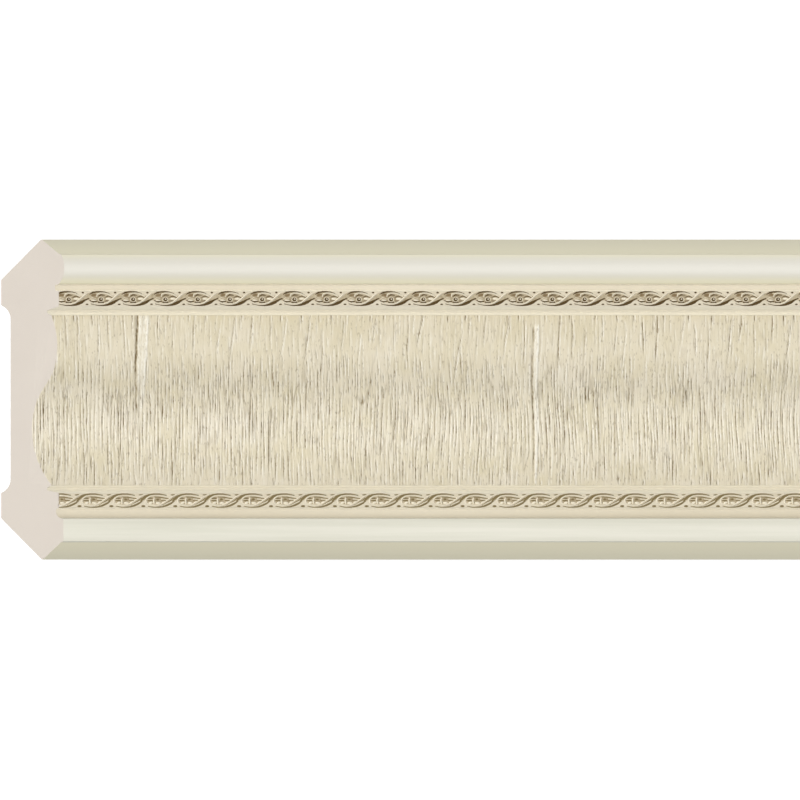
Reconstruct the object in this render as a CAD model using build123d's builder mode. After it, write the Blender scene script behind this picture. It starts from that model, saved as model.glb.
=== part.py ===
from build123d import *
from math import tan, radians
import os

# A stock length of cornice moulding, foamed in one piece and lying on its back with its face up.
# X runs along the length, +Y is the side that meets the ceiling and -Y the side that meets the wall.
# Heights are measured up from the two back lands, which lie in the plane Z = 0.
# The origin is at the middle of the length and of the width, in the plane of the back lands.

# Stock
length = 2400.0
mitre_angle = 45.0  # saw cut at the -X end, for an inside corner; the +X end is cut square

# Widths of the members of the face, from the ceiling edge to the wall edge
ceiling_chamfer_width = 6.5
bead_width = 13.0
bead_fillet_width = 3.0
band_width = 6.6  # flat band that carries the stamped ornament, twice
groove_width = 3.2  # groove between a band and the panel, twice
panel_width = 74.0
fascia_fillet_width = 1.6
cove_width = 2.9
fascia_width = 10.0
wall_chamfer_width = 8.0

# Heights of the members above the back lands
ceiling_nose_height = 17.6
bead_shoulder_height = 26.2
bead_crown_height = 27.6
bead_foot_height = 25.2
bead_fillet_height = 23.6
band_height = 25.4
groove_height = 20.0
panel_edge_height = 22.0
fascia_fillet_height = 24.0
fascia_height = 27.2
wall_nose_height = 18.0

# Details of the face
quirk_depth = 0.8  # how far the bead and the fascia stand proud of the chamfers beside them
step_draft = 0.5  # how far the wall of a step leans over its height
step_radius = 0.4
crown_inset = 6.0  # from the bead's ceiling side to its crown
crest_inset = 15.0  # from the panel's ceiling side to the crest of the ogee
crest_height = 24.5
trough_inset = 24.7  # from the panel's wall side to the bottom of the ogee
trough_height = 13.4
ogee_split = 0.45  # share of the way from crest to trough where the curve turns over

# Details of the back
bevel_angle = 45.0  # between each contact face and the back
land_width = 11.0
recess_depth = 4.2
recess_corner_run = 6.0  # width over which the recess curves down to its full depth
nose_radius = 0.5

# Stations across the width, worked out from the members
ceiling_side = ceiling_chamfer_width + bead_width + bead_fillet_width
wall_side = fascia_fillet_width + cove_width + fascia_width + wall_chamfer_width
face_width = ceiling_side + wall_side + panel_width + 2 * (band_width + groove_width)
ceiling_edge = face_width / 2
bead_top = ceiling_edge - ceiling_chamfer_width
bead_bottom = bead_top - bead_width
ceiling_band_top = bead_bottom - bead_fillet_width
ceiling_band_bottom = ceiling_band_top - band_width
panel_top = ceiling_band_bottom - groove_width
panel_bottom = panel_top - panel_width
wall_band_top = panel_bottom - groove_width
wall_band_bottom = wall_band_top - band_width
cove_top = wall_band_bottom - fascia_fillet_width
fascia_top = cove_top - cove_width
fascia_bottom = fascia_top - fascia_width
wall_edge = -ceiling_edge

# Stations across the back
bevel_slope = tan(radians(bevel_angle))
ceiling_land_outer = ceiling_edge - ceiling_nose_height / bevel_slope
ceiling_land_inner = ceiling_land_outer - land_width
wall_land_outer = wall_edge + wall_nose_height / bevel_slope
wall_land_inner = wall_land_outer + land_width


def back_outline():
    """The two lands, the shallow recess between them and the two bevelled contact faces."""
    recess_ceiling_end = (ceiling_land_inner - recess_corner_run, recess_depth)
    recess_wall_end = (wall_land_inner + recess_corner_run, recess_depth)
    Polyline((ceiling_edge, ceiling_nose_height), (ceiling_land_outer, 0), (ceiling_land_inner, 0))
    TangentArc(recess_ceiling_end, (ceiling_land_inner, 0), tangent=(1, 0))
    Line(recess_ceiling_end, recess_wall_end)
    TangentArc(recess_wall_end, (wall_land_inner, 0), tangent=(-1, 0))
    Polyline((wall_land_inner, 0), (wall_land_outer, 0), (wall_edge, wall_nose_height))


def ceiling_side_outline():
    """Chamfer, bead, fillet, ornament band and groove, down to the panel."""
    Polyline(
        (ceiling_edge, ceiling_nose_height),
        (bead_top, bead_shoulder_height - quirk_depth),
        (bead_top, bead_shoulder_height),
    )
    crown = (bead_top - crown_inset, bead_crown_height)
    TangentArc(crown, (bead_top, bead_shoulder_height), tangent=(1, 0))
    TangentArc(crown, (bead_bottom, bead_foot_height), tangent=(-1, 0))
    FilletPolyline(
        (bead_bottom, bead_foot_height),
        (bead_bottom - step_draft, bead_fillet_height),
        (ceiling_band_top + step_draft, bead_fillet_height),
        (ceiling_band_top, band_height),
        (ceiling_band_bottom, band_height),
        (ceiling_band_bottom - step_draft, groove_height),
        (panel_top + step_draft, groove_height),
        (panel_top, panel_edge_height),
        radius=step_radius,
    )


def panel_outline():
    """The ogee of the wide panel: a crest towards the ceiling and a hollow towards the wall."""
    crest = Vector(panel_top - crest_inset, crest_height)
    trough = Vector(panel_bottom + trough_inset, trough_height)
    turn = crest + (trough - crest) * ogee_split
    TangentArc(crest, (panel_top, panel_edge_height), tangent=(1, 0))
    TangentArc(crest, turn, tangent=(-1, 0))
    TangentArc(trough, turn, tangent=(1, 0))
    TangentArc(trough, (panel_bottom, panel_edge_height), tangent=(-1, 0))


def wall_side_outline():
    """Groove, ornament band, fillet, cove, fascia and chamfer, down to the wall edge."""
    FilletPolyline(
        (panel_bottom, panel_edge_height),
        (panel_bottom - step_draft, groove_height),
        (wall_band_top + step_draft, groove_height),
        (wall_band_top, band_height),
        (wall_band_bottom, band_height),
        (wall_band_bottom - step_draft, fascia_fillet_height),
        (cove_top, fascia_fillet_height),
        radius=step_radius,
    )
    TangentArc((cove_top, fascia_fillet_height), (fascia_top, fascia_height), tangent=(-1, 0))
    Polyline(
        (fascia_top, fascia_height),
        (fascia_bottom, fascia_height),
        (fascia_bottom, fascia_height - quirk_depth),
        (wall_edge, wall_nose_height),
    )


with BuildPart() as cornice:
    with BuildSketch(Plane.YZ.offset(-length / 2)) as section:
        with BuildLine() as outline:
            back_outline()
            ceiling_side_outline()
            panel_outline()
            wall_side_outline()
        make_face()
        noses = section.vertices().sort_by(Axis.X)
        fillet([noses[0], noses[-1]], radius=nose_radius)
    extrude(amount=length)
    # The mitre leaves the back at its full length and shortens the face.
    mitre = Plane(
        origin=(-length / 2, 0, 0),
        x_dir=(0, 1, 0),
        z_dir=(1, 0, -tan(radians(mitre_angle))),
    )
    split(bisect_by=mitre, keep=Keep.TOP)

cornice.part.label = "cornice_moulding"
os.makedirs("parts", exist_ok=True)
export_step(cornice.part, "parts/cornice_moulding.step")
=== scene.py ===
from math import atan2, pi, radians

import bpy
import numpy as np
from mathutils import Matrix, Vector


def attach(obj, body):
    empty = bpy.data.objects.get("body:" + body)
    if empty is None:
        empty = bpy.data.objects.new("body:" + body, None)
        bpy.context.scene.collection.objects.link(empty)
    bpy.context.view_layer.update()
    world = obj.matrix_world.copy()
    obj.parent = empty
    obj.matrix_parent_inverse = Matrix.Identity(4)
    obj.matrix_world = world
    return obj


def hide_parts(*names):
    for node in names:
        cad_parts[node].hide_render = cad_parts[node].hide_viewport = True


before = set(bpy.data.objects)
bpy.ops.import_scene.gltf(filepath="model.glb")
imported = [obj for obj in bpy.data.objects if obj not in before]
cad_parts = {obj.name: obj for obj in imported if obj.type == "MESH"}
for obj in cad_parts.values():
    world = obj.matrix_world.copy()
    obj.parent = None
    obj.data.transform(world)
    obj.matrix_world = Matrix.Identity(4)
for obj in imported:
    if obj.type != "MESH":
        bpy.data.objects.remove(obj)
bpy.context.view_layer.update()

# The extruded length: high-density foamed polystyrene pushed through a die, painted on its face and
# left bare on its back. It is drawn as one section, with a pocket for the pressed panel and two sunk
# bands for the ornament, drawn out along X, and sawn off: mitred at -X and square at +X.
mm = 0.001
length = 2400.0 * mm
ceiling_chamfer_width = 6.5 * mm
bead_width = 13.0 * mm
bead_fillet_width = 3.0 * mm
band_width = 6.6 * mm
groove_width = 3.2 * mm
panel_width = 74.0 * mm
fascia_fillet_width = 1.6 * mm
cove_width = 2.9 * mm
fascia_width = 10.0 * mm
wall_chamfer_width = 8.0 * mm

ceiling_nose_height = 17.6 * mm
bead_shoulder_height = 26.2 * mm
bead_crown_height = 27.6 * mm
bead_crown_inset = 6.0 * mm
bead_foot_height = 25.2 * mm
bead_fillet_height = 23.6 * mm
band_ground_height = 25.15 * mm
groove_height = 20.0 * mm
groove_slant = 1.1 * mm  # width of the sloping sides of the two grooves
ceiling_band_slant = 1.8 * mm  # and of the side below the ceiling band
panel_edge_height = 22.0 * mm
pocket_height = 10.5 * mm
panel_inset = 0.7 * mm  # how far below its groove's edge the grain starts
panel_lap = 0.35 * mm  # how far the other groove's edge laps over the grain
fascia_fillet_height = 24.0 * mm
fascia_height = 27.2 * mm
wall_nose_height = 18.0 * mm
quirk_depth = 0.8 * mm
step_draft = 0.25 * mm
edge_radius = 0.4 * mm
nose_rounding = 0.05 * mm  # how far the rounding sets each nose back
land_width = 11.0 * mm
recess_depth = 4.2 * mm
recess_corner_run = 6.0 * mm

ceiling_edge = (
    ceiling_chamfer_width + bead_width + bead_fillet_width + panel_width
    + 2 * (band_width + groove_width)
    + fascia_fillet_width + cove_width + fascia_width + wall_chamfer_width
) / 2
wall_edge = -ceiling_edge
bead_top = ceiling_edge - ceiling_chamfer_width
bead_bottom = bead_top - bead_width
ceiling_band_top = bead_bottom - bead_fillet_width
ceiling_band_bottom = ceiling_band_top - band_width
panel_top = ceiling_band_bottom - groove_width
panel_bottom = panel_top - panel_width
wall_band_top = panel_bottom - groove_width
wall_band_bottom = wall_band_top - band_width
cove_top = wall_band_bottom - fascia_fillet_width
fascia_top = cove_top - cove_width
fascia_bottom = fascia_top - fascia_width
ceiling_land_outer = ceiling_edge - ceiling_nose_height
ceiling_land_inner = ceiling_land_outer - land_width
wall_land_outer = wall_edge + wall_nose_height
wall_land_inner = wall_land_outer + land_width

pen = Vector((0, 0))  # how far the section is drawn, as (y, z)


def start_section(name, x, y, z):
    """Puts down the first point of a section, which is drawn in the plane of the saw cut at x."""
    bpy.ops.object.select_all(action="DESELECT")
    bpy.ops.mesh.primitive_plane_add(size=mm)
    bpy.context.object.name = name
    bpy.ops.object.mode_set(mode="EDIT")
    bpy.ops.mesh.merge(type="CENTER")
    bpy.ops.transform.translate(value=(x, y, z))
    pen.xy = y, z


def line_to(y, z):
    """Draws the section on in a straight line."""
    bpy.ops.mesh.extrude_region_move(
        TRANSFORM_OT_translate={"value": (0, y - pen.x, z - pen.y)}
    )
    pen.xy = y, z


def arc_to(y, z, level, steps):
    """Draws the section on in an arc that runs level, along Y, at its start or at its end."""
    run, rise = y - pen.x, z - pen.y
    radius = (run * run + rise * rise) / (2 * rise)
    centre = Vector((pen.x, pen.y + radius)) if level == "start" else Vector((y, z - radius))
    start, end = pen - centre, Vector((y, z)) - centre
    turn = atan2(start.x * end.y - start.y * end.x, start.dot(end))
    bpy.ops.mesh.spin(
        steps=steps, angle=-turn, center=(0, centre.x, centre.y), axis=(1, 0, 0)
    )
    pen.xy = y, z


spare = 50 * mm  # sawn off at each end
start_section(
    "moulding_body", -length / 2 - spare, ceiling_edge - nose_rounding, ceiling_nose_height
)
line_to(bead_top, bead_shoulder_height - quirk_depth)
line_to(bead_top, bead_shoulder_height)
arc_to(bead_top - bead_crown_inset, bead_crown_height, "end", 10)
arc_to(bead_bottom, bead_foot_height, "start", 12)
line_to(bead_bottom - step_draft, bead_fillet_height)
line_to(ceiling_band_top + step_draft, bead_fillet_height)
line_to(ceiling_band_top, band_ground_height)
line_to(ceiling_band_bottom, band_ground_height)
line_to(ceiling_band_bottom - ceiling_band_slant, groove_height)
line_to(panel_top + groove_slant - panel_inset, groove_height)
line_to(panel_top - panel_inset, panel_edge_height)
line_to(panel_top - panel_inset, pocket_height)
line_to(panel_bottom + panel_lap, pocket_height)
line_to(panel_bottom + panel_lap, panel_edge_height)
line_to(panel_bottom - groove_slant, groove_height)
line_to(wall_band_top + groove_slant, groove_height)
line_to(wall_band_top, band_ground_height)
line_to(wall_band_bottom, band_ground_height)
line_to(wall_band_bottom - step_draft, fascia_fillet_height)
line_to(cove_top, fascia_fillet_height)
arc_to(fascia_top, fascia_height, "start", 6)
line_to(fascia_bottom, fascia_height)
line_to(fascia_bottom, fascia_height - quirk_depth)
line_to(wall_edge + nose_rounding, wall_nose_height)
line_to(wall_land_outer, 0)
line_to(wall_land_inner, 0)
arc_to(wall_land_inner + recess_corner_run, recess_depth, "end", 6)
line_to(ceiling_land_inner - recess_corner_run, recess_depth)
arc_to(ceiling_land_inner, 0, "start", 6)
line_to(ceiling_land_outer, 0)
line_to(ceiling_edge - nose_rounding, ceiling_nose_height)
bpy.ops.mesh.select_all(action="SELECT")
bpy.ops.mesh.remove_doubles(threshold=0.001 * mm)
bpy.ops.mesh.edge_face_add()
bpy.ops.mesh.extrude_region_move(
    TRANSFORM_OT_translate={"value": (length + 2 * spare, 0, 0)}
)
bpy.ops.mesh.select_all(action="SELECT")
bpy.ops.mesh.normals_make_consistent(inside=False)
bpy.ops.object.mode_set(mode="OBJECT")
body = bpy.context.object
bpy.ops.object.modifier_add(type="BEVEL")
soften = body.modifiers[-1]
soften.width = edge_radius
soften.segments = 2
soften.limit_method = "ANGLE"
soften.angle_limit = radians(35)
bpy.ops.object.modifier_apply(modifier=soften.name)


def pick(piece):
    """Selects this piece alone and makes it the active one."""
    bpy.ops.object.select_all(action="DESELECT")
    piece.select_set(True)
    bpy.context.view_layer.objects.active = piece


def saw_ends(piece, first=True, last=True, shy=0):
    """Cuts the piece along the mitre at -X and square at +X, and closes what was cut.

    A piece that is let into the body is cut a hair shy of it, so that two cut faces never coincide.
    """
    pick(piece)
    bpy.ops.object.mode_set(mode="EDIT")
    cuts = []
    if first:
        cuts.append(((-length / 2 + shy, 0, 0), (-1, 0, 1)))
    if last:
        cuts.append(((length / 2 - shy, 0, 0), (1, 0, 0)))
    for place, away in cuts:
        bpy.ops.mesh.select_all(action="SELECT")
        bpy.ops.mesh.bisect(
            plane_co=place, plane_no=away, use_fill=True, clear_outer=True, threshold=1e-6
        )
    bpy.ops.object.mode_set(mode="OBJECT")


saw_ends(body)


def paint(red, green, blue):
    """A paint colour given as on a colour card, from 0 to 255."""
    channels = [c / 255 for c in (red, green, blue)]
    return [c / 12.92 if c <= 0.04045 else ((c + 0.055) / 1.055) ** 2.4 for c in channels] + [1]


def add_node(tree, kind, **settings):
    """Adds a shader node. A setting that names an input sets it, any other sets the node itself."""
    node = tree.nodes.new(kind)
    for name, value in settings.items():
        label = name.replace("_", " ").title()
        if label in node.inputs and not hasattr(node, name):
            node.inputs[label].default_value = value
        else:
            setattr(node, name, value)
    return node


def add_range(tree, low, high, start=0.0, end=1.0, kind="LINEAR"):
    """Adds a node that turns low into start and high into end, with what lies between."""
    node = add_node(tree, "ShaderNodeMapRange", interpolation_type=kind)
    node.inputs["From Min"].default_value = low
    node.inputs["From Max"].default_value = high
    node.inputs["To Min"].default_value = start
    node.inputs["To Max"].default_value = end
    return node


def make_mottle():
    """Node group: soft uneven tone and a fine tooth, as spray paint has on foam."""
    tree = bpy.data.node_groups.new("paint_mottle", "ShaderNodeTree")
    for name, kind, value in (
        ("Light", "NodeSocketColor", paint(230, 222, 200)),
        ("Dark", "NodeSocketColor", paint(214, 205, 180)),
        ("Patch Scale", "NodeSocketFloat", 18.0),
        ("Tooth Scale", "NodeSocketFloat", 900.0),
        ("Streak", "NodeSocketFloat", 1.0),
    ):
        socket = tree.interface.new_socket(name, in_out="INPUT", socket_type=kind)
        socket.default_value = value
    tree.interface.new_socket("Color", in_out="OUTPUT", socket_type="NodeSocketColor")
    tree.interface.new_socket("Tooth", in_out="OUTPUT", socket_type="NodeSocketFloat")
    given = tree.nodes.new("NodeGroupInput")
    result = tree.nodes.new("NodeGroupOutput")
    place = tree.nodes.new("ShaderNodeTexCoord")
    stretch = add_node(tree, "ShaderNodeVectorMath", operation="MULTIPLY")
    along = add_node(tree, "ShaderNodeCombineXYZ")
    along.inputs["Y"].default_value = 1
    along.inputs["Z"].default_value = 1
    patches = add_node(tree, "ShaderNodeTexNoise", detail=4.0, roughness=0.6)
    tooth = add_node(tree, "ShaderNodeTexNoise", detail=2.0, roughness=0.5)
    tone = add_range(tree, 0.35, 0.65)
    blend = add_node(tree, "ShaderNodeMix", data_type="RGBA")
    link = tree.links.new
    link(given.outputs["Streak"], along.inputs["X"])
    link(place.outputs["Object"], stretch.inputs[0])
    link(along.outputs[0], stretch.inputs[1])
    link(stretch.outputs[0], patches.inputs["Vector"])
    link(given.outputs["Patch Scale"], patches.inputs["Scale"])
    link(place.outputs["Object"], tooth.inputs["Vector"])
    link(given.outputs["Tooth Scale"], tooth.inputs["Scale"])
    link(patches.outputs["Fac"], tone.inputs["Value"])
    link(tone.outputs["Result"], blend.inputs["Factor"])
    link(given.outputs["Light"], blend.inputs["A"])
    link(given.outputs["Dark"], blend.inputs["B"])
    link(blend.outputs["Result"], result.inputs["Color"])
    link(tooth.outputs["Fac"], result.inputs["Tooth"])
    return tree


mottle = make_mottle()


def painted(name, light, dark, roughness, tooth_depth, streak=1.0, patch_scale=18.0,
            tooth_scale=900.0):
    """A material of mottled paint."""
    material = bpy.data.materials.new(name)
    material.use_nodes = True
    tree = material.node_tree
    shader = tree.nodes["Principled BSDF"]
    shader.inputs["Roughness"].default_value = roughness
    tone = add_node(tree, "ShaderNodeGroup", node_tree=mottle)
    tone.inputs["Light"].default_value = light
    tone.inputs["Dark"].default_value = dark
    tone.inputs["Streak"].default_value = streak
    tone.inputs["Patch Scale"].default_value = patch_scale
    tone.inputs["Tooth Scale"].default_value = tooth_scale
    bump = add_node(tree, "ShaderNodeBump")
    bump.inputs["Distance"].default_value = tooth_depth
    tree.links.new(tone.outputs["Color"], shader.inputs["Base Color"])
    tree.links.new(tone.outputs["Tooth"], bump.inputs["Height"])
    tree.links.new(bump.outputs["Normal"], shader.inputs["Normal"])
    return material


pearl_ivory = painted(
    "pearl_ivory", paint(220, 217, 206), paint(215, 211, 198), 0.34, 0.02 * mm, streak=0.08
)


def tint_below(material, colour, low, high):
    """Another tone of the paint wherever the face lies low, changing over between two heights."""
    tree = material.node_tree
    shader = tree.nodes["Principled BSDF"]
    place = tree.nodes.new("ShaderNodeTexCoord")
    height = tree.nodes.new("ShaderNodeSeparateXYZ")
    share = add_range(tree, low, high, kind="SMOOTHSTEP")
    tinted = add_node(tree, "ShaderNodeMix", data_type="RGBA")
    tinted.inputs["A"].default_value = colour
    tree.links.new(place.outputs["Object"], height.inputs[0])
    tree.links.new(height.outputs["Z"], share.inputs["Value"])
    tree.links.new(share.outputs["Result"], tinted.inputs["Factor"])
    tree.links.new(shader.inputs["Base Color"].links[0].from_socket, tinted.inputs["B"])
    tree.links.new(tinted.outputs["Result"], shader.inputs["Base Color"])


# The paint changes with height: more neutral on the bead's crown, a painted sheen, and yellower and a
# little lighter lower down, on the bead's sides and on the chamfers, as painted light that lifts these
# slopes.
bead_sheen_height = 25.8 * mm
tint_below(pearl_ivory, paint(228, 222, 194), bead_sheen_height, bead_crown_height)
# The fascia has a darker copy of the ivory paint, painted shade: it catches less of the overhead sheen
# than the bead's crown. Its faint streaks along X are the paint's own.
fascia_shaded_ivory = painted(
    "fascia_shaded_ivory", paint(220, 217, 202), paint(210, 208, 191), 0.38, 0.03 * mm,
    streak=0.03, patch_scale=260.0,
)
antique_cream = painted(
    "antique_cream", paint(212, 203, 182), paint(206, 196, 173), 0.5, 0.03 * mm, streak=0.3
)
tint_below(antique_cream, paint(205, 198, 179), groove_height, fascia_fillet_height - mm)
band_cream = painted(
    "band_cream", paint(216, 206, 183), paint(207, 196, 171), 0.5, 0.03 * mm, patch_scale=90.0
)
bare_foam = painted(
    "bare_foam", paint(213, 204, 193), paint(211, 202, 191), 0.85, 0.05 * mm,
    patch_scale=40.0, tooth_scale=1800.0,
)
# The steep sides of the steps have a much lighter copy of the cream, painted light that lifts the
# shade on them. It is less light lower down, near the groove floors.
step_painted_light = painted(
    "step_painted_light", paint(253, 247, 230), paint(248, 242, 223), 0.5, 0.03 * mm, streak=0.3
)
tint_below(step_painted_light, paint(226, 220, 203), groove_height, bead_fillet_height)
finishes = (pearl_ivory, antique_cream, band_cream, bare_foam, fascia_shaded_ivory, step_painted_light)
for finish in finishes:
    body.data.materials.append(finish)
level_enough = 0.75  # a face whose normal has less of Z than this is the side of a step
for face in body.data.polygons:
    y, z = face.center.y, face.center.z
    sawn = abs(face.normal.x) > 0.5
    behind = z < ceiling_nose_height - edge_radius and face.normal.z < 0.1
    if sawn or behind:
        finish = bare_foam
    elif y > bead_bottom or y < fascia_bottom - edge_radius:
        finish = pearl_ivory
    # The fascia takes the darker copy of the ivory, painted shade.
    elif y < fascia_top + edge_radius:
        finish = fascia_shaded_ivory
    # The steep sides of steps take the lighter copy, painted light.
    elif face.normal.z < level_enough and y > wall_band_bottom - edge_radius:
        finish = step_painted_light
    elif abs(z - band_ground_height) < 0.05 * mm:
        finish = band_cream
    else:
        finish = antique_cream
    face.material_index = finishes.index(finish)
bpy.ops.object.shade_smooth_by_angle(angle=radians(40))
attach(body, "root")
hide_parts("cornice_moulding")

# The pressed panel: the wide ogee of the face, into which a heated roller has pressed a bark-like
# wood grain across the width. Antique brown paint is wiped off its ridges and stays in the grooves.
# It is made in five lengths that seat in the body's pocket, so that each stays light enough.
panel_lengths = 5
panel_length = length / panel_lengths
grain_pitch = 0.32 * mm  # from one column of points to the next
crest_inset = 15.0 * mm
crest_height = 24.5 * mm
trough_inset = 24.7 * mm
trough_height = 13.4 * mm
ogee_split = 0.45
crest = Vector((panel_top - crest_inset, crest_height))
trough = Vector((panel_bottom + trough_inset, trough_height))
turnover = crest + (trough - crest) * ogee_split
columns = round(length / grain_pitch)
panel_columns = columns // panel_lengths

start_section("ogee", -length / 2, panel_top - panel_inset, panel_edge_height)
arc_to(*crest, "end", 8)
arc_to(*turnover, "start", 8)
arc_to(*trough, "end", 10)
arc_to(panel_bottom, panel_edge_height, "start", 14)
bpy.ops.object.mode_set(mode="OBJECT")
ogee = bpy.context.object
row_y = np.sort([vertex.co.y for vertex in ogee.data.vertices])[::-1]
rows = len(row_y)

rng = np.random.default_rng(11)
column_x = -length / 2 + grain_pitch * np.arange(columns + 1)
cut = np.zeros((columns + 1, rows))
lift = np.zeros((columns + 1, rows))
stain = np.zeros((columns + 1, rows))
wear_and_highlight = np.zeros((columns + 1, rows))

# Slow waves of sideways wander, each with its size, its reach up and along, and its phase
sway_parts = [
    (rng.uniform(0.05, 0.3) * mm, rng.uniform(35, 110) * mm, rng.uniform(60, 400) * mm,
     rng.uniform(0, 2 * pi))
    for _ in range(7)
]


def sway(x, y):
    """How far the grain as a whole wanders sideways at a place."""
    return sum(
        size * np.sin(2 * pi * (y / tall + x / wide) + phase)
        for size, tall, wide, phase in sway_parts
    )


lip_distance = 0.45 * mm  # from the middle of a groove to the crest of its lip
lip_width = 0.24 * mm
lip_share = 0.35  # height of the lip for the depth of the groove
core_share = 0.8  # of the depth, the rest is in the shoulders


def press_groove(x, y_from, y_to, depth, width, stain_strength, shoulder, lean):
    """Presses one tapering, wandering groove that runs across the face from y_from to y_to.

    It has a dark narrow core, wider shoulders, and a raised lip on its +X side, which faces the key
    light, whitened as worn and as a painted highlight.
    """
    inside = np.nonzero((row_y <= y_from) & (row_y >= y_to))[0]
    if len(inside) < 2:
        return
    y = row_y[inside]
    own_size, own_length, own_phase = (
        rng.uniform(0.03, 0.17) * mm, rng.uniform(9, 24) * mm, rng.uniform(0, 2 * pi)
    )
    middle = x + sway(x, y) + lean * (y - (y_from + y_to) / 2)
    middle += own_size * np.sin(2 * pi * y / own_length + own_phase)
    taper = np.sin(pi * (y_from - y + mm) / (y_from - y_to + 2 * mm)) ** 0.5
    taper *= rng.uniform(0.7, 1.15, len(y))
    reach = int(2.6 * max(width, shoulder) / grain_pitch) + 2
    first = np.rint((middle + length / 2) / grain_pitch).astype(int)
    near = first[:, None] + np.arange(-reach, reach + 1)[None, :]
    usable = (near >= 0) & (near <= columns)
    near = near.clip(0, columns)
    apart = column_x[near] - middle[:, None]
    core = np.exp(-((apart / width) ** 2)) * taper[:, None] * usable
    rim = np.exp(-((apart / shoulder) ** 2)) * taper[:, None] * usable
    at = (near, np.broadcast_to(inside[:, None], near.shape))
    lip = np.exp(-(((apart - lip_distance) / lip_width) ** 2)) * taper[:, None] * usable
    np.maximum.at(cut, at, depth * (core_share * core + (1 - core_share) * rim))
    np.maximum.at(lift, at, lip_share * depth * lip)
    np.maximum.at(stain, at, core * stain_strength)
    np.maximum.at(wear_and_highlight, at, lip * min(1.1 * stain_strength, 0.85))


def press_grain(spacing, y_high, y_low, lengths, gaps, depth, width, stain_strength, shoulder,
                leans=(-0.02, 0.03)):
    """Fills a stretch of the panel with grooves, line beside line and end to end.

    The lengths of the grooves and the gaps between them are in millimetres.
    """
    x = -length / 2 - 4 * mm
    while x < length / 2 + 4 * mm:
        x += spacing * rng.uniform(0.6, 1.4)
        y = y_high + rng.uniform(-8, 6) * mm
        while y > y_low:
            run = rng.uniform(*lengths) * mm
            end = max(y - run, y_low + rng.uniform(-5, 6) * mm)
            press_groove(
                x + rng.uniform(-0.12, 0.12) * spacing, y, end, depth * rng.uniform(0.4, 1.3),
                width * rng.uniform(0.8, 1.3), stain_strength * rng.uniform(0.35, 1.0), shoulder,
                rng.uniform(*leans),
            )
            y = end - rng.uniform(*gaps) * mm


def down(share):
    """The place that is this share of the way from the panel's ceiling side to its wall side."""
    return panel_top - share * panel_width


# Long thin cracks high up, short close strokes on the slope, and deep bark-like grain in the hollow.
press_grain(
    spacing=7.0 * mm, y_high=down(0.0), y_low=down(0.38), lengths=(8, 24), gaps=(3, 16),
    depth=0.42 * mm, width=0.2 * mm, stain_strength=1.4, shoulder=0.3 * mm, leans=(-0.02, 0.17),
)
press_grain(
    spacing=2.3 * mm, y_high=down(0.0), y_low=down(0.34), lengths=(4, 14), gaps=(3, 10),
    depth=0.15 * mm, width=0.18 * mm, stain_strength=0.6, shoulder=0.3 * mm,
)
press_grain(
    spacing=1.5 * mm, y_high=down(0.31), y_low=down(0.5), lengths=(4, 12), gaps=(1, 4),
    depth=0.34 * mm, width=0.18 * mm, stain_strength=1.1, shoulder=0.3 * mm,
)
press_grain(
    spacing=1.6 * mm, y_high=down(0.48), y_low=down(0.96), lengths=(8, 30), gaps=(1, 6),
    depth=0.54 * mm, width=0.19 * mm, stain_strength=1.15, shoulder=0.35 * mm,
)
press_grain(
    spacing=2.9 * mm, y_high=down(0.48), y_low=down(0.97), lengths=(5, 16), gaps=(3, 12),
    depth=0.25 * mm, width=0.18 * mm, stain_strength=0.5, shoulder=0.3 * mm,
)

# Short nicks where the deepest cracks open into the grooves beside the panel.
ceiling_nick_spacing = 8 * mm
for x in np.arange(-length / 2, length / 2, ceiling_nick_spacing):
    press_groove(
        x + rng.uniform(-3, 3) * mm, panel_top + mm, panel_top - rng.uniform(2.2, 4.5) * mm,
        depth=0.6 * mm, width=0.24 * mm, stain_strength=rng.uniform(0.7, 1.3),
        shoulder=0.4 * mm, lean=0,
    )
wall_nick_spacing = 11 * mm
for x in np.arange(-length / 2, length / 2, wall_nick_spacing):
    press_groove(
        x + rng.uniform(-4, 4) * mm, panel_bottom + rng.uniform(1.0, 2.6) * mm, panel_bottom - mm,
        depth=0.5 * mm, width=0.22 * mm, stain_strength=rng.uniform(0.5, 1.2),
        shoulder=0.4 * mm, lean=0,
    )

relief = lift - cut

# Two creases in view and more of them along the rest, each a rough crack with a raised lip beside it,
# whitened as worn and with a painted highlight along its crest. Broad and narrow ones take turns.
crease_places = [-1140.6, -969.5, -742.0, -553.0, -310.0, -148.0, 96.0, 305.0, 512.0, 700.0, 948.0]
broad_breadth = 4.4 * mm
narrow_breadth = 2.0 * mm
crease_lift = 0.25 * mm
crest_lift = 0.3 * mm
crease_crack_depth = 0.8 * mm


def step_up(distance, softness):
    """A soft step from 0 to 1 where the distance passes 0."""
    return 0.5 * (1 + np.tanh(distance / softness))


for number, place in enumerate(crease_places):
    broad = number % 2 == 0
    high, low = (down(0.0), down(0.57)) if broad else (down(0.07), down(0.98))
    inside = (row_y <= high) & (row_y >= low)
    y = row_y[inside]
    left = place * mm + 0.6 * (sway(0, y) - sway(0, high)) + rng.normal(0, 0.09, len(y)) * mm
    narrowing = 1 - 0.6 * ((high - y) / (high - low)) ** 3
    breadth = (broad_breadth if broad else narrow_breadth) * narrowing
    from_crack = column_x[:, None] - left
    lip = step_up(from_crack, 0.2 * mm) * step_up(breadth - from_crack, 0.3 * mm)
    crest_line = np.exp(-(((from_crack - breadth + 0.3 * mm) / (0.42 * mm)) ** 2)) * narrowing
    crack = np.exp(-(((from_crack + 0.35 * mm) / (0.45 * mm)) ** 2)) * narrowing
    crack *= rng.uniform(0.5, 1.3, len(y)) * (1.0 if broad else 0.6)
    relief[:, inside] += crease_lift * lip + crest_lift * crest_line - crease_crack_depth * crack
    stain[:, inside] *= 1 - 0.85 * lip
    stain[:, inside] = np.maximum(stain[:, inside], 1.2 * crack)
    wear_and_highlight[:, inside] *= 1 - 0.5 * lip
    wear_and_highlight[:, inside] += 0.4 * lip + 0.9 * crest_line

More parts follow.
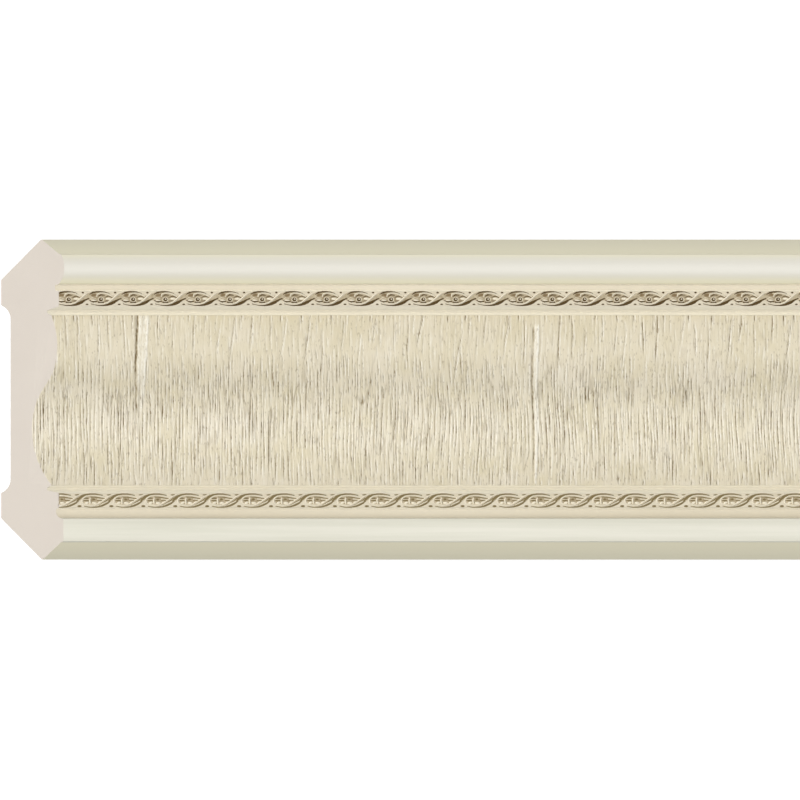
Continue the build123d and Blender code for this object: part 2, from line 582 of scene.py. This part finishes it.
# The whole face is faintly uneven.
undulations = 16
undulation_height = 0.009 * mm
for _ in range(undulations):
    wide, tall, phase = rng.uniform(7, 50) * mm, rng.uniform(9, 60) * mm, rng.uniform(0, 2 * pi)
    relief += undulation_height * np.sin(
        2 * pi * (column_x[:, None] / wide + rng.choice([-1, 1]) * row_y[None, :] / tall) + phase
    )
ground_lift = 0.1 * mm  # of the face between the grooves over the plain ogee
deepest = 0.9 * mm
highest = 0.35 * mm
relief = np.clip(relief + ground_lift, -deepest, highest)

# What stands above its surroundings, the mean of a few columns on either side, is whitened: worn,
# and a painted highlight on the ridges beside the grooves.
reach = 2
whitening_height = 0.12 * mm
whitening_share = 0.3
padded = np.pad(relief, ((reach, reach), (0, 0)), mode="edge")
sums = np.cumsum(np.pad(padded, ((1, 0), (0, 0))), axis=0)
around = (sums[2 * reach + 1:] - sums[:-2 * reach - 1]) / (2 * reach + 1)
wear_and_highlight += np.clip((relief - around) / whitening_height, 0, 1) * whitening_share


def make_fibre():
    """Node group: hair cracks that run across the face between long cells, and dark specks."""
    tree = bpy.data.node_groups.new("wood_fibre", "ShaderNodeTree")
    for name in ("Crack", "Ridge", "Speck", "Across", "Breakup"):
        tree.interface.new_socket(name, in_out="OUTPUT", socket_type="NodeSocketFloat")
    link = tree.links.new
    result = tree.nodes.new("NodeGroupOutput")
    place = tree.nodes.new("ShaderNodeTexCoord")
    wander = add_node(tree, "ShaderNodeTexNoise", scale=120.0, detail=3.0)
    sideways = add_node(tree, "ShaderNodeVectorMath", operation="MULTIPLY_ADD")
    sideways.inputs[1].default_value = (1.2 * mm, 0, 0)
    drawn_out = add_node(tree, "ShaderNodeMapping")
    drawn_out.inputs["Scale"].default_value = (1, 0.09, 0.02)
    cells = add_node(tree, "ShaderNodeTexVoronoi", feature="DISTANCE_TO_EDGE", scale=520.0)
    line = add_range(tree, 0.1, 0.02, kind="SMOOTHSTEP")
    grain = add_node(tree, "ShaderNodeTexNoise", scale=1000.0, detail=3.0, roughness=0.65)
    torn = add_node(tree, "ShaderNodeTexNoise", scale=1900.0, detail=1.0)
    breakup = add_range(tree, 0.35, 0.65, start=0.45, end=1.35)
    half_drawn = add_node(tree, "ShaderNodeMapping")
    half_drawn.inputs["Scale"].default_value = (1, 0.3, 0.1)
    strokes = add_node(tree, "ShaderNodeTexNoise", scale=260.0, detail=2.0)
    stroke = add_range(tree, 0.46, 0.6, kind="SMOOTHSTEP")
    crack = add_node(tree, "ShaderNodeMath", operation="MULTIPLY")
    specks = add_node(tree, "ShaderNodeTexNoise", scale=1500.0, detail=1.0)
    speck = add_range(tree, 0.62, 0.72, kind="SMOOTHSTEP")
    height = tree.nodes.new("ShaderNodeSeparateXYZ")
    link(place.outputs["Object"], wander.inputs["Vector"])
    link(wander.outputs["Color"], sideways.inputs[0])
    link(place.outputs["Object"], sideways.inputs[2])
    link(sideways.outputs[0], drawn_out.inputs["Vector"])
    link(drawn_out.outputs[0], grain.inputs["Vector"])
    link(drawn_out.outputs[0], cells.inputs["Vector"])
    link(cells.outputs["Distance"], line.inputs["Value"])
    link(sideways.outputs[0], half_drawn.inputs["Vector"])
    link(half_drawn.outputs[0], strokes.inputs["Vector"])
    link(strokes.outputs["Fac"], stroke.inputs["Value"])
    link(line.outputs["Result"], crack.inputs[0])
    link(stroke.outputs["Result"], crack.inputs[1])
    link(half_drawn.outputs[0], specks.inputs["Vector"])
    link(specks.outputs["Fac"], speck.inputs["Value"])
    link(place.outputs["Object"], height.inputs[0])
    link(crack.outputs[0], result.inputs["Crack"])
    link(grain.outputs["Fac"], result.inputs["Ridge"])
    link(speck.outputs["Result"], result.inputs["Speck"])
    link(height.outputs["Y"], result.inputs["Across"])
    link(half_drawn.outputs[0], torn.inputs["Vector"])
    link(torn.outputs["Fac"], breakup.inputs["Value"])
    link(breakup.outputs["Result"], result.inputs["Breakup"])
    return tree


def add_ramp(tree, stops):
    """Adds a ramp that eases from one grey to the next. A stop is its place and its grey."""
    ramp = tree.nodes.new("ShaderNodeValToRGB")
    ramp.color_ramp.interpolation = "EASE"
    while len(ramp.color_ramp.elements) < len(stops):
        ramp.color_ramp.elements.new(0.5)
    for element, (position, grey) in zip(ramp.color_ramp.elements, stops):
        element.position = position
        element.color = (grey, grey, grey, 1)
    return ramp


wood_panel = bpy.data.materials.new("wood_panel")
wood_panel.use_nodes = True
tree = wood_panel.node_tree
link = tree.links.new
shader = tree.nodes["Principled BSDF"]
shader.inputs["Roughness"].default_value = 0.5
fibre = add_node(tree, "ShaderNodeGroup", node_tree=make_fibre())
tone = add_node(tree, "ShaderNodeGroup", node_tree=mottle)
tone.inputs["Light"].default_value = paint(227, 218, 197)
tone.inputs["Dark"].default_value = paint(217, 207, 179)
tone.inputs["Patch Scale"].default_value = 60.0

# How strong the fine cracks are, from the wall side of the panel to its ceiling side.
share = add_range(tree, panel_bottom, panel_top)
density = add_ramp(
    tree, ((0.0, 0.15), (0.16, 0.25), (0.3, 0.28), (0.6, 0.28), (0.75, 0.16), (1.0, 0.12))
)
link(fibre.outputs["Across"], share.inputs["Value"])
link(share.outputs["Result"], density.inputs["Fac"])

# The panel is darker and yellower towards its ceiling side, most of all at its steep top edge, where
# this is painted shade, and faintly so near its wall side.
darkening_across = add_ramp(
    tree,
    ((0.0, 0.0), (0.05, 0.1), (0.3, 0.05), (0.6, 0.0), (0.72, 0.3), (0.95, 0.4), (1.0, 0.7)),
)
darkened_across = add_node(tree, "ShaderNodeMix", data_type="RGBA")
darkened_across.inputs["B"].default_value = paint(205, 193, 162)
link(share.outputs["Result"], darkening_across.inputs["Fac"])
link(darkening_across.outputs["Color"], darkened_across.inputs["Factor"])
link(tone.outputs["Color"], darkened_across.inputs["A"])

# Brown in the cracks and specks; white on the lips and crests, worn and with a painted highlight.
crack_amount = add_node(tree, "ShaderNodeMath", operation="MULTIPLY")
speck_amount = add_node(tree, "ShaderNodeMath", operation="MULTIPLY_ADD")
speck_amount.inputs[1].default_value = 0.35
groove = add_node(tree, "ShaderNodeAttribute", attribute_name="stain")
brown_amount = add_node(tree, "ShaderNodeMath", operation="MULTIPLY_ADD", use_clamp=True)
whitening_attribute = add_node(tree, "ShaderNodeAttribute", attribute_name="wear_and_highlight")
ridge = add_range(tree, 0.55, 0.75, end=0.5)
white_amount = add_node(tree, "ShaderNodeMath", operation="MULTIPLY_ADD", use_clamp=True)
whitened_and_highlighted = add_node(tree, "ShaderNodeMix", data_type="RGBA")
whitened_and_highlighted.inputs["B"].default_value = paint(242, 237, 222)
stained = add_node(tree, "ShaderNodeMix", data_type="RGBA")
stained.inputs["B"].default_value = paint(134, 117, 84)
link(fibre.outputs["Crack"], crack_amount.inputs[0])
link(density.outputs["Color"], crack_amount.inputs[1])
link(fibre.outputs["Speck"], speck_amount.inputs[0])
link(crack_amount.outputs[0], speck_amount.inputs[2])
link(groove.outputs["Fac"], brown_amount.inputs[0])
link(fibre.outputs["Breakup"], brown_amount.inputs[1])
link(speck_amount.outputs[0], brown_amount.inputs[2])
link(fibre.outputs["Ridge"], ridge.inputs["Value"])
link(whitening_attribute.outputs["Fac"], white_amount.inputs[0])
link(fibre.outputs["Breakup"], white_amount.inputs[1])
link(ridge.outputs["Result"], white_amount.inputs[2])
link(white_amount.outputs[0], whitened_and_highlighted.inputs["Factor"])
link(darkened_across.outputs["Result"], whitened_and_highlighted.inputs["A"])
link(whitened_and_highlighted.outputs["Result"], stained.inputs["A"])
link(brown_amount.outputs[0], stained.inputs["Factor"])
link(stained.outputs["Result"], shader.inputs["Base Color"])

# The finest fibre is only bump, and fainter towards the ceiling side.
depth = add_node(tree, "ShaderNodeMath", operation="SUBTRACT")
bump = add_node(tree, "ShaderNodeBump")
bump.inputs["Distance"].default_value = 0.25 * mm
tooth = add_range(tree, down(0.45), down(0.2), start=1.0, end=0.6)
link(fibre.outputs["Across"], tooth.inputs["Value"])
link(tooth.outputs["Result"], bump.inputs["Strength"])
link(fibre.outputs["Ridge"], depth.inputs[0])
link(crack_amount.outputs[0], depth.inputs[1])
link(depth.outputs[0], bump.inputs["Height"])
link(bump.outputs["Normal"], shader.inputs["Normal"])

sawn_shy = 0.01 * mm  # how far the panel's mitred end stays behind the body's
for number in range(panel_lengths):
    pick(ogee)
    bpy.ops.object.duplicate()
    panel = bpy.context.object
    panel.name = f"grain_panel_{number + 1}"
    bpy.ops.object.modifier_add(type="SCREW")
    draw_out = panel.modifiers[-1]
    draw_out.axis = "X"
    draw_out.angle = 0
    draw_out.screw_offset = panel_length
    draw_out.steps = draw_out.render_steps = panel_columns
    draw_out.use_smooth_shade = False
    bpy.ops.object.modifier_apply(modifier=draw_out.name)
    places = np.empty(len(panel.data.vertices) * 3)
    panel.data.vertices.foreach_get("co", places)
    places = places.reshape(-1, 3)
    column = np.rint((places[:, 0] + length / 2) / grain_pitch).astype(int) + number * panel_columns
    row = np.abs(places[:, 1][:, None] - row_y[None, :]).argmin(1)
    places[:, 0] = column_x[column]
    places[:, 2] += relief[column, row]
    panel.data.vertices.foreach_set("co", places.ravel())
    for name, amount in (("stain", stain), ("wear_and_highlight", wear_and_highlight)):
        attribute = panel.data.attributes.new(name, "FLOAT", "POINT")
        attribute.data.foreach_set("value", amount[column, row])
    bpy.ops.object.mode_set(mode="EDIT")
    bpy.ops.mesh.select_all(action="SELECT")
    bpy.ops.mesh.region_to_loop()
    bpy.ops.mesh.extrude_edges_move(TRANSFORM_OT_translate={"value": (0, 0, -mm)})
    bpy.ops.transform.resize(value=(1, 1, 0), center_override=(0, 0, pocket_height))
    bpy.ops.mesh.edge_face_add()
    bpy.ops.mesh.select_all(action="SELECT")
    bpy.ops.mesh.normals_make_consistent(inside=False)
    bpy.ops.object.mode_set(mode="OBJECT")
    panel.data.materials.append(wood_panel)
    panel.data.materials.append(bare_foam)
    if number == 0:
        saw_ends(panel, last=False, shy=sawn_shy)
    for face in panel.data.polygons:
        face.material_index = int(abs(face.normal.x) > 0.5 and len(face.vertices) > 4)
    bpy.ops.object.shade_smooth_by_angle(angle=radians(65))
    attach(panel, "root")
bpy.data.objects.remove(ogee)

# The scroll ornament: a running guilloche stamped into both cream bands. Brown patina is brushed in
# and wiped off, so that it lies flat between the strands and runs dark along their feet. The dark
# strokes and pools on the lower sides of the strands and about the ceiling band's knob are partly
# patina and partly painted shadow, from the light above. The ceiling band and the wall band have
# patterns of their own. Each is modelled once and repeated.
ground = band_ground_height
ornament_share = 0.92  # of the band's width
ceiling_pitch = 13.911 * mm
ceiling_first_x = -1156.4 * mm  # middle of the first whole unit
wall_pitch = 13.775 * mm
wall_first_x = -1158.8 * mm
units_before = 4  # set before the first whole one, for the mitre to cut
stretches = 6
units_in_stretch = 30
# The flat strokes and pools are partly patina and partly painted shadow.
stroke_flatness = 0.3  # height of a stroke of patina for its width
wash_and_shadow_flatness = 0.012
pool_height = 0.1
pattern_lift = 0.04 * mm  # of the middle of each strand over the ground


def stamped(name, colour, rim_colour, roughness, sheen, rim_height):
    """A material that changes from its rim colour at the ground to its own colour above it."""
    material = bpy.data.materials.new(name)
    material.use_nodes = True
    tree = material.node_tree
    link = tree.links.new
    shader = tree.nodes["Principled BSDF"]
    shader.inputs["Roughness"].default_value = roughness
    shader.inputs["Specular IOR Level"].default_value = sheen
    place = tree.nodes.new("ShaderNodeTexCoord")
    height = tree.nodes.new("ShaderNodeSeparateXYZ")
    smear = add_node(tree, "ShaderNodeTexNoise", scale=800.0, detail=3.0)
    smear_height = add_node(tree, "ShaderNodeMath", operation="MULTIPLY_ADD")
    smear_height.inputs[1].default_value = rim_height
    share = add_range(
        tree, ground + 0.6 * rim_height, ground + 1.7 * rim_height, kind="SMOOTHSTEP"
    )
    tinted = add_node(tree, "ShaderNodeMix", data_type="RGBA")
    tinted.inputs["A"].default_value = rim_colour
    tinted.inputs["B"].default_value = colour
    link(place.outputs["Object"], height.inputs[0])
    link(place.outputs["Object"], smear.inputs["Vector"])
    link(smear.outputs["Fac"], smear_height.inputs[0])
    link(height.outputs["Z"], smear_height.inputs[2])
    link(smear_height.outputs[0], share.inputs["Value"])
    link(share.outputs["Result"], tinted.inputs["Factor"])
    link(tinted.outputs["Result"], shader.inputs["Base Color"])
    return material


scroll_cream = stamped(
    "scroll_cream", paint(233, 224, 202), paint(150, 130, 92), 0.45, 0.5, 0.1 * mm
)
patina_and_shadow_wash = stamped(
    "patina_and_shadow_wash", paint(128, 108, 76), paint(206, 193, 164), 0.7, 0.2, 0.095 * mm
)
umber_patina_and_shadow = stamped(
    "umber_patina_and_shadow", paint(84, 66, 36), paint(112, 93, 58), 0.7, 0.15, 0.03 * mm
)
olive_patina_and_shadow = stamped(
    "olive_patina_and_shadow", paint(124, 109, 74), paint(150, 135, 100), 0.7, 0.15, 0.03 * mm
)


# A unit is drawn in millimetres from the middle of its loop, for the helpers to scale.
def lay_strand(points, radii, finish=scroll_cream):
    """A half-sunk strand along a smooth path, or a flat stroke of patina and painted shadow on the
    ground.
    """
    bpy.ops.object.select_all(action="DESELECT")
    bpy.ops.curve.primitive_nurbs_path_add()
    strand = bpy.context.object
    strand.data.splines.clear()
    spline = strand.data.splines.new("NURBS")
    spline.points.add(len(points) - 1)
    for point, (x, y), radius in zip(spline.points, points, radii):
        point.co = (x * mm, y * mm, 0, 1)
        point.radius = radius
    spline.order_u = 3
    spline.use_endpoint_u = True
    spline.resolution_u = 1
    strand.data.bevel_depth = mm
    strand.data.bevel_resolution = 0
    strand.data.use_fill_caps = True
    bpy.ops.object.convert(target="MESH")
    strand = bpy.context.object
    strand.data.materials.append(finish)
    if finish in (umber_patina_and_shadow, olive_patina_and_shadow):
        strand.scale.z = stroke_flatness
    if finish == patina_and_shadow_wash:
        strand.scale.z = wash_and_shadow_flatness
    return strand


def set_boss(x, y, half_length, half_width, height, turn=0, finish=scroll_cream):
    """A domed leaf, knob or pearl, or a flat pool of patina and painted shadow."""
    bpy.ops.object.select_all(action="DESELECT")
    bpy.ops.mesh.primitive_uv_sphere_add(
        segments=8, ring_count=4, radius=1, location=(x * mm, y * mm, 0),
        rotation=(0, 0, radians(turn)), scale=(half_length * mm, half_width * mm, height * mm),
    )
    bpy.context.object.data.materials.append(finish)
    return bpy.context.object


def set_pool(x, y, half_length, half_width, finish=umber_patina_and_shadow):
    """A flat pool of patina and painted shadow."""
    return set_boss(x, y, half_length, half_width, pool_height, 0, finish)


def set_ring(x, y, radius, thickness):
    """A ring, such as the one about the pearl."""
    bpy.ops.object.select_all(action="DESELECT")
    bpy.ops.mesh.primitive_torus_add(
        major_segments=10, minor_segments=4, major_radius=radius * mm,
        minor_radius=thickness * mm, location=(x * mm, y * mm, 0),
    )
    bpy.context.object.data.materials.append(scroll_cream)
    return bpy.context.object


def ceiling_unit():
    """Two strands that cross between loops, with a ringed pearl and two leaves in the loop."""
    return [
        # The patina wash inside the loop, and the painted shadow on the lower side of the crossing
        # strand
        lay_strand(
            ((-6.0, -0.4), (-4.6, 0.7), (-2.4, 0.8), (0.3, 0.6), (2.6, 0.7), (4.6, 0.9), (5.4, 1.1)),
            (0.4, 2.0, 2.7, 2.8, 2.2, 1.0, 0.2), patina_and_shadow_wash,
        ),
        set_boss(-3.1, 1.75, 1.7, 0.85, 0.075, 10, patina_and_shadow_wash),
        lay_strand(
            ((1.2, -2.9), (3.6, -2.1), (5.2, -0.9), (6.5, 0.1), (7.8, 1.1), (9.4, 2.1), (11, 2.6)),
            (0.2, 0.7, 1.2, 1.4, 1.3, 1.0, 0.7), patina_and_shadow_wash,
        ),
        # Dark strokes and pools along the feet of the strands: patina, and painted shadow on their
        # lower sides and about the knob
        lay_strand(
            ((-4.6, -2.4), (-2.6, -2.9), (-0.4, -3.15), (1.7, -3.0), (3.4, -2.5), (5.0, -1.85),
             (6.1, -1.15), (6.9, -0.6)),
            (0.16, 0.24, 0.3, 0.42, 0.66, 0.74, 0.6, 0.3), umber_patina_and_shadow,
        ),
        lay_strand(((6.0, -0.95), (7.3, -0.75), (8.6, 0.2)), (0.4, 0.5, 0.3), umber_patina_and_shadow),
        lay_strand(
            ((-5.2, 2.0), (-4.3, 2.8), (-2.9, 3.2), (-1.2, 3.3), (0.5, 3.25), (2.2, 3.0), (3.5, 2.5)),
            (0.2, 0.34, 0.38, 0.36, 0.32, 0.25, 0.12), umber_patina_and_shadow,
        ),
        lay_strand(
            ((1.4, 0.6), (2.3, 1.25), (3.4, 1.3), (4.7, 0.6)), (0.22, 0.3, 0.3, 0.18), umber_patina_and_shadow
        ),
        lay_strand(
            ((-5.1, -0.8), (-4.1, -1.4), (-2.8, -1.45), (-1.7, -1.15)), (0.2, 0.38, 0.38, 0.25),
            umber_patina_and_shadow,
        ),
        lay_strand(
            ((-1.4, 1.1), (-0.9, 1.75), (0.3, 1.95), (1.5, 1.65)), (0.28, 0.42, 0.42, 0.2),
            umber_patina_and_shadow,
        ),
        lay_strand(
            ((-1.5, -1.6), (-0.2, -2.2), (1.1, -1.65)), (0.35, 0.55, 0.32), umber_patina_and_shadow
        ),
        lay_strand(((1.3, -1.1), (2.6, -1.2), (3.7, -0.9)), (0.25, 0.32, 0.18), umber_patina_and_shadow),
        set_pool(-0.2, -0.3, 1.0, 1.0),
        set_pool(5.9, 2.9, 0.55, 0.42),
        set_pool(7.7, -2.6, 0.65, 0.34),
        # Strands, ring and leaves
        lay_strand(
            ((-5.2, -1.8), (-4.0, -2.2), (-2.4, -2.6), (-0.4, -2.85), (1.6, -2.45), (3.3, -1.5),
             (4.6, -0.3), (5.9, 1.0), (7.1, 2.2), (8.2, 3.0), (9.8, 3.4)),
            (0.2, 0.28, 0.24, 0.2, 0.36, 0.48, 0.48, 0.46, 0.42, 0.38, 0.25),
        ),
        lay_strand(
            ((-2.0, 0.9), (-2.2, 1.7), (-1.4, 2.5), (0.3, 2.75), (1.9, 2.6), (3.4, 2.0), (4.9, 1.1)),
            (0.25, 0.34, 0.36, 0.34, 0.4, 0.42, 0.38),
        ),
        lay_strand(((-4.9, -0.1), (-4.5, 0.45), (-3.5, 0.5), (-2.4, 0.2)), (0.15, 0.24, 0.24, 0.15)),
        set_ring(-0.2, -0.3, 1.13, 0.18),
        set_boss(-0.05, -0.15, 0.4, 0.38, 0.42),
        set_boss(3.15, 0.0, 1.4, 0.62, 0.42),
        set_boss(-3.35, -0.7, 1.3, 0.42, 0.36, -4),
    ]


def wall_unit():
    """Two strands that cross between loops, with a barred cross and leaf buds in the loop."""
    return [
        # The patina wash inside the loop, and the painted shadow on the lower side of the crossing
        # strand
        lay_strand(
            ((-6.2, -0.3), (-4.4, 0.2), (-2.2, 0.1), (0.3, 0.1), (2.6, 0.5), (4.4, 1.0)),
            (0.8, 2.3, 2.8, 2.8, 2.0, 0.6), patina_and_shadow_wash,
        ),
        lay_strand(
            ((1.5, -2.6), (3.2, -1.6), (4.9, -0.6), (6.2, 0.6), (7.6, 1.7), (9.4, 2.5)),
            (0.4, 0.9, 1.0, 1.0, 0.8, 0.4), patina_and_shadow_wash,
        ),
        # Olive strokes and pools: patina, and painted shadow on the lower sides of the strands
        lay_strand(
            ((5.6, -0.2), (6.2, 0.4), (7.1, 1.4), (8.2, 2.2), (9.9, 2.75), (12.5, 2.95),
             (14.6, 2.8), (16.8, 2.4)),
            (0.3, 0.55, 0.6, 0.55, 0.48, 0.44, 0.4, 0.2), olive_patina_and_shadow,
        ),
        lay_strand(
            ((-5.1, -2.7), (-3.7, -3.1), (-1.5, -3.25), (0.5, -3.1), (2.2, -2.75), (3.5, -2.15),
             (4.5, -1.6), (5.8, -0.8), (6.2, -0.1)),
            (0.15, 0.24, 0.24, 0.28, 0.38, 0.42, 0.38, 0.36, 0.3), olive_patina_and_shadow,
        ),
        lay_strand(
            ((1.5, -2.3), (2.8, -1.35), (4.1, -0.5), (5.4, 0.5), (6.0, 1.2)),
            (0.15, 0.22, 0.24, 0.24, 0.2), olive_patina_and_shadow,
        ),
        lay_strand(
            ((-2.3, 1.6), (-0.6, 1.7), (1.1, 1.25), (2.6, 0.95), (3.9, 0.85)),
            (0.22, 0.3, 0.3, 0.26, 0.2), olive_patina_and_shadow,
        ),
        lay_strand(((0.5, -0.1), (1.6, -0.1), (2.8, 0.0)), (0.26, 0.28, 0.2), olive_patina_and_shadow),
        set_pool(-0.9, 0.5, 0.75, 0.55, olive_patina_and_shadow),
        set_pool(-4.2, 1.0, 1.25, 0.4, olive_patina_and_shadow),
        set_pool(-4.1, -0.1, 1.4, 0.34, olive_patina_and_shadow),
        set_pool(-2.0, -0.95, 0.3, 0.3, olive_patina_and_shadow),
        set_pool(6.7, -2.7, 0.95, 0.5, olive_patina_and_shadow),
        set_pool(5.8, 2.6, 1.2, 0.32, olive_patina_and_shadow),
        # Strands, bars and buds
        lay_strand(
            ((-5.6, -1.3), (-6.1, -0.4), (-5.8, 0.7), (-4.9, 1.7), (-3.4, 2.25), (-1.3, 2.4),
             (0.9, 2.2), (2.8, 1.7), (4.5, 1.3)),
            (0.38, 0.4, 0.38, 0.38, 0.38, 0.36, 0.42, 0.5, 0.35),
        ),
        lay_strand(
            ((-5.6, -1.3), (-4.5, -2.1), (-3.0, -2.45), (-1.3, -2.5), (0.2, -2.2), (1.4, -1.3),
             (2.8, -0.4), (4.1, 0.6), (5.2, 1.5), (6.2, 2.3), (7.7, 2.9)),
            (0.4, 0.5, 0.6, 0.6, 0.5, 0.4, 0.38, 0.38, 0.42, 0.45, 0.3),
        ),
        lay_strand(((1.7, -2.3), (2.8, -1.7), (3.9, -1.0), (5.3, -0.4)), (0.2, 0.3, 0.34, 0.25)),
        lay_strand(((-2.3, 1.3), (-2.6, 0.6), (-2.6, -0.5), (-2.3, -1.6)), (0.3, 0.38, 0.4, 0.45)),
        lay_strand(((0.6, 0.7), (1.7, 0.55), (3.9, 0.4)), (0.32, 0.34, 0.22)),
        lay_strand(((-5.6, 0.5), (-4.2, 0.5), (-2.8, 0.5)), (0.15, 0.18, 0.15)),
        set_boss(-3.8, -1.1, 0.95, 0.62, 0.3, 20),
        set_boss(-0.7, -1.2, 1.2, 0.6, 0.3),
        set_boss(1.8, -0.8, 1.1, 0.45, 0.4, 20),
    ]


ceiling_middle_y = (ceiling_band_top + ceiling_band_bottom) / 2
wall_middle_y = (wall_band_top + wall_band_bottom) / 2
for side, unit, first_x, middle_y, pitch in (
    ("ceiling", ceiling_unit, ceiling_first_x, ceiling_middle_y, ceiling_pitch),
    ("wall", wall_unit, wall_first_x, wall_middle_y, wall_pitch),
):
    parts = unit()
    pick(parts[0])
    for part in parts:
        part.select_set(True)
    bpy.ops.object.join()
    bpy.ops.object.transform_apply(location=True, rotation=True, scale=True)
    pattern = bpy.context.object
    pattern.name = f"{side}_pattern"
    bpy.ops.object.mode_set(mode="EDIT")
    bpy.ops.mesh.select_all(action="SELECT")
    bpy.ops.mesh.normals_make_consistent(inside=False)
    bpy.ops.transform.resize(value=(1, ornament_share, 1), center_override=(0, 0, 0))
    bpy.ops.transform.translate(
        value=(first_x - units_before * pitch, middle_y, ground + pattern_lift)
    )
    bpy.ops.object.mode_set(mode="OBJECT")
    pattern.data.materials.append(bare_foam)
    for number in range(stretches):
        pick(pattern)
        bpy.ops.object.duplicate()
        scrolls = bpy.context.object
        scrolls.name = f"{side}_scrolls_{number + 1}"
        bpy.ops.object.modifier_add(type="ARRAY")
        repeat = scrolls.modifiers[-1]
        repeat.count = units_in_stretch
        repeat.use_relative_offset = False
        repeat.use_constant_offset = True
        repeat.constant_offset_displace = (pitch, 0, 0)
        bpy.ops.object.modifier_apply(modifier=repeat.name)
        bpy.ops.object.mode_set(mode="EDIT")
        bpy.ops.mesh.select_all(action="SELECT")
        bpy.ops.transform.translate(value=(number * units_in_stretch * pitch, 0, 0))
        bpy.ops.object.mode_set(mode="OBJECT")
        saw_ends(scrolls, first=number == 0, last=number == stretches - 1)
        for face in scrolls.data.polygons:
            from_mitre = face.center.x - face.center.z + length / 2
            from_square_end = face.center.x - length / 2
            if min(abs(from_mitre), abs(from_square_end)) < 0.001 * mm:
                face.material_index = len(scrolls.data.materials) - 1
        bpy.ops.object.shade_smooth_by_angle(angle=radians(80))
        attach(scrolls, "root")
    bpy.data.objects.remove(pattern)

# The floor and the backdrop: plain white, as in a catalogue picture. Both glow white only where
# they are seen themselves, in the picture, in a gloss or through glass, so they don't light the piece.
floor_glow = 0.8
sky_strength = 0.32


def add_seen(tree):
    """Adds what is 1 for a ray that shows the background and 0 for one that only lights."""
    rays = tree.nodes.new("ShaderNodeLightPath")
    seen = add_node(tree, "ShaderNodeMath", operation="MAXIMUM")
    seen_too = add_node(tree, "ShaderNodeMath", operation="MAXIMUM")
    tree.links.new(rays.outputs["Is Camera Ray"], seen.inputs[0])
    tree.links.new(rays.outputs["Is Glossy Ray"], seen.inputs[1])
    tree.links.new(seen.outputs[0], seen_too.inputs[0])
    tree.links.new(rays.outputs["Is Transmission Ray"], seen_too.inputs[1])
    return seen_too.outputs[0]


bpy.ops.object.select_all(action="DESELECT")
bpy.ops.mesh.primitive_plane_add(size=60)
floor = bpy.context.object
floor.name = "floor"
white = bpy.data.materials.new("white_floor")
white.use_nodes = True
tree = white.node_tree
shader = tree.nodes["Principled BSDF"]
shader.inputs["Base Color"].default_value = (0.4, 0.4, 0.4, 1)
shader.inputs["Roughness"].default_value = 1
shader.inputs["Specular IOR Level"].default_value = 0
shader.inputs["Emission Color"].default_value = (1, 1, 1, 1)
glow = add_node(tree, "ShaderNodeMath", operation="MULTIPLY")
glow.inputs[1].default_value = floor_glow
tree.links.new(add_seen(tree), glow.inputs[0])
tree.links.new(glow.outputs[0], shader.inputs["Emission Strength"])
floor.data.materials.append(white)

world = bpy.data.worlds.new("studio")
bpy.context.scene.world = world
world.use_nodes = True
tree = world.node_tree
backdrop = tree.nodes["Background"]
backdrop.inputs["Color"].default_value = (1, 1, 1, 1)
level = add_range(tree, 0.0, 1.0, start=sky_strength)
tree.links.new(add_seen(tree), level.inputs["Value"])
tree.links.new(level.outputs["Result"], backdrop.inputs["Strength"])

# The lamps: a key light from the mitred end that grazes the grain, and a wide soft one overhead.
for name, strength, softness, direction in (
    ("key_light", 1.6, 12, (-1.0, 0.27, 0.75)),
    ("overhead_light", 1.35, 40, (0.05, -0.1, 1.0)),
):
    bpy.ops.object.light_add(type="SUN", location=Vector(direction) * 3)
    light = bpy.context.object
    light.name = name
    light.data.energy = strength
    light.data.angle = radians(softness)
    light.rotation_euler = Vector(direction).to_track_quat("Z", "Y").to_euler()

# The camera looks straight down on the face at the mitred end, from far off, as in the photograph.
picture_pixels = 800
pixel = 0.4316 * mm
tip_column = 0.5  # where the tip of the mitred end stands in the photograph
middle_row = 399.6  # and where the middle of the width does
camera_height = 15.0
focus_height = 20 * mm  # the level of the face at which a pixel has its size
bpy.ops.object.camera_add(
    location=(
        -length / 2 + (picture_pixels / 2 - tip_column) * pixel,
        (middle_row - picture_pixels / 2) * pixel,
        camera_height,
    ),
    rotation=(0, 0, 0),
)
camera = bpy.context.object
camera.data.sensor_width = 36
camera.data.lens = (
    camera.data.sensor_width * (camera_height - focus_height) / (picture_pixels * pixel)
)
camera.data.clip_start = 0.1
camera.data.clip_end = 100
bpy.context.scene.camera = camera
bpy.context.scene.view_settings.view_transform = "Standard"
